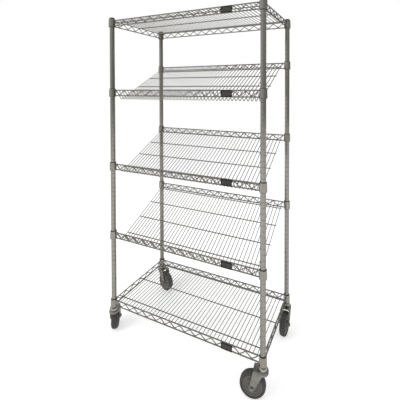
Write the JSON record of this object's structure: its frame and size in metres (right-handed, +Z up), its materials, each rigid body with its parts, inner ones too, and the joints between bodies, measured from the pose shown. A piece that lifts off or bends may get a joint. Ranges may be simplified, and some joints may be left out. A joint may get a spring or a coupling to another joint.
{
  "type": "bread rack",
  "caption": "Mobile chrome wire bread rack: flat shelves at top and bottom, slanted display shelves with a front trough between them, round posts on swivel casters.",
  "frame": {"origin": "on the floor, midway between the four posts", "axes": "+Z up, -Y towards the front (low) side of the slanted shelves, +X to the right seen from the front"},
  "size_m": [0.9761, 0.4829, 1.7531],
  "materials": {
    "post": "bright chrome plate, fine grooves",
    "wire": "bright chrome plate",
    "cap": "moulded",
    "sleeve": "moulded",
    "plate": "moulded, blank",
    "zinc": "zinc plate",
    "core": "moulded",
    "tyre": "matt"
  },
  "bodies": {
    "rack": {"shelf_bottom": "wire", "plate_bottom": "plate", "sleeve_bottom_lf": "sleeve", "sleeve_bottom_rf": "sleeve", "sleeve_bottom_lr": "sleeve", "sleeve_bottom_rr": "sleeve", "shelf_lower": "wire", "plate_lower": "plate", "sleeve_lower_lf": "sleeve", "sleeve_lower_rf": "sleeve", "sleeve_lower_lr": "sleeve", "sleeve_lower_rr": "sleeve", "shelf_middle": "wire", "plate_middle": "plate", "sleeve_middle_lf": "sleeve", "sleeve_middle_rf": "sleeve", "sleeve_middle_lr": "sleeve", "sleeve_middle_rr": "sleeve", "shelf_upper": "wire", "plate_upper": "plate", "sleeve_upper_lf": "sleeve", "sleeve_upper_rf": "sleeve", "sleeve_upper_lr": "sleeve", "sleeve_upper_rr": "sleeve", "shelf_top": "wire", "plate_top": "plate", "sleeve_top_lf": "sleeve", "sleeve_top_rf": "sleeve", "sleeve_top_lr": "sleeve", "sleeve_top_rr": "sleeve", "post_lf": "post", "post_cap_lf": "cap", "caster_lf_stem": "zinc", "post_rf": "post", "post_cap_rf": "cap", "caster_rf_stem": "zinc", "post_lr": "post", "post_cap_lr": "cap", "caster_lr_stem": "zinc", "post_rr": "post", "post_cap_rr": "cap", "caster_rr_stem": "zinc"},
    "swivel_lf": {"caster_lf_fork": "zinc", "caster_lf_axle": "zinc"},
    "wheel_lf": {"caster_lf_wheel_core": "core", "caster_lf_tyre": "tyre"},
    "swivel_rf": {"caster_rf_fork": "zinc", "caster_rf_axle": "zinc"},
    "wheel_rf": {"caster_rf_wheel_core": "core", "caster_rf_tyre": "tyre"},
    "swivel_lr": {"caster_lr_fork": "zinc", "caster_lr_axle": "zinc"},
    "wheel_lr": {"caster_lr_wheel_core": "core", "caster_lr_tyre": "tyre"},
    "swivel_rr": {"caster_rr_fork": "zinc", "caster_rr_axle": "zinc"},
    "wheel_rr": {"caster_rr_wheel_core": "core", "caster_rr_tyre": "tyre"}
  },
  "joints": [
    {"name": "swivel_lf_turn", "type": "hinge", "parent": "rack", "child": "swivel_lf", "pos_m": [-0.437, -0.2085, 0.135], "axis": [0, 0, 1], "continuous": true},
    {"name": "wheel_lf_spin", "type": "hinge", "parent": "swivel_lf", "child": "wheel_lf", "pos_m": [-0.46408, -0.17256, 0.059], "axis": [-0.7986, -0.6018, 0], "continuous": true},
    {"name": "swivel_rf_turn", "type": "hinge", "parent": "rack", "child": "swivel_rf", "pos_m": [0.437, -0.2085, 0.135], "axis": [0, 0, 1], "continuous": true},
    {"name": "wheel_rf_spin", "type": "hinge", "parent": "swivel_rf", "child": "wheel_rf", "pos_m": [0.39268, -0.21631, 0.059], "axis": [0.1736, -0.9848, 0], "continuous": true},
    {"name": "swivel_lr_turn", "type": "hinge", "parent": "rack", "child": "swivel_lr", "pos_m": [-0.437, 0.2085, 0.135], "axis": [0, 0, 1], "continuous": true},
    {"name": "wheel_lr_spin", "type": "hinge", "parent": "swivel_lr", "child": "wheel_lr", "pos_m": [-0.39374, 0.1961, 0.059], "axis": [0.2756, 0.9613, 0], "continuous": true},
    {"name": "swivel_rr_turn", "type": "hinge", "parent": "rack", "child": "swivel_rr", "pos_m": [0.437, 0.2085, 0.135], "axis": [0, 0, 1], "continuous": true},
    {"name": "wheel_rr_spin", "type": "hinge", "parent": "swivel_rr", "child": "wheel_rr", "pos_m": [0.437, 0.1635, 0.059], "axis": [1, 0, 0], "continuous": true}
  ]
}
